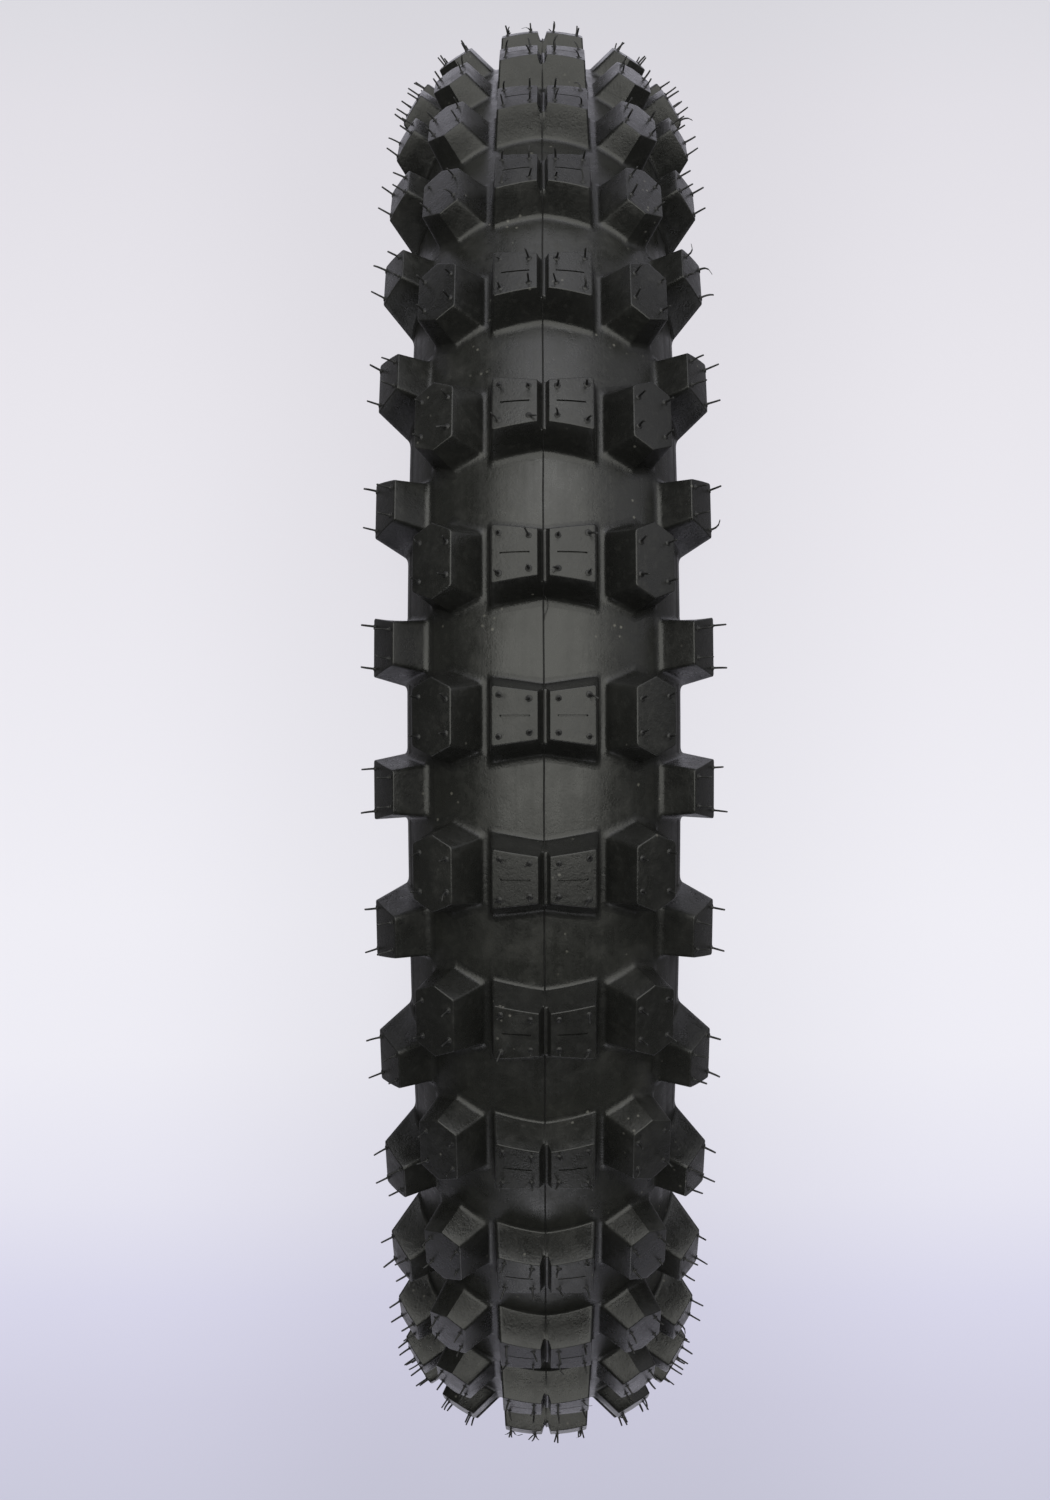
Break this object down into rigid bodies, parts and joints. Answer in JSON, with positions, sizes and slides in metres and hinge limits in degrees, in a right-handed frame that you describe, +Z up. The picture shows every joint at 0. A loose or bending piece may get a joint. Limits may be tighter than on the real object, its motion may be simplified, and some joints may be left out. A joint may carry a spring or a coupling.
{
  "type": "knobby motorcycle tire",
  "caption": "Off-road motorcycle tire with slotted centre knobs, six-sided intermediate knobs, staggered shoulder knobs, vent whiskers and a layered casing on wire beads.",
  "frame": {"origin": "wheel centre: on the axle line, midway between the two beads", "axes": "+Y along the axle, +Z up; the first tread row sits at the top on +Z, and the shoulder knobs lie half a pitch on"},
  "size_m": [0.6872, 0.1294, 0.6886],
  "materials": {
    "tread_rubber": "satin, faint brown bloom",
    "sidewall_rubber": "satin",
    "vent_rubber": "satin",
    "chafer_rubber": "fine woven",
    "filler_rubber": "matte",
    "liner_rubber": "satin",
    "ply_cord": "rubbered nylon cord",
    "bead_steel": "bronze-coated wire"
  },
  "bodies": {
    "root": {"tread_base": "tread_rubber", "centre_knobs": "tread_rubber", "intermediate_knobs_left": "tread_rubber", "shoulder_knobs_left": "tread_rubber", "sidewall_left": "sidewall_rubber", "rim_line_left": "sidewall_rubber", "chafer_left": "chafer_rubber", "bead_filler_left": "filler_rubber", "bead_wrap_left": "filler_rubber", "bead_wires_left": "bead_steel", "vent_whiskers_intermediate_left": "vent_rubber", "vent_whiskers_shoulder_left": "vent_rubber", "intermediate_knobs_right": "tread_rubber", "shoulder_knobs_right": "tread_rubber", "sidewall_right": "sidewall_rubber", "rim_line_right": "sidewall_rubber", "chafer_right": "chafer_rubber", "bead_filler_right": "filler_rubber", "bead_wrap_right": "filler_rubber", "bead_wires_right": "bead_steel", "vent_whiskers_intermediate_right": "vent_rubber", "vent_whiskers_shoulder_right": "vent_rubber", "vent_whiskers_centre": "vent_rubber", "mould_seam": "tread_rubber", "crown_breaker": "ply_cord", "carcass_ply_outer": "ply_cord", "carcass_ply_inner": "ply_cord", "inner_liner": "liner_rubber"}
  },
  "joints": []
}
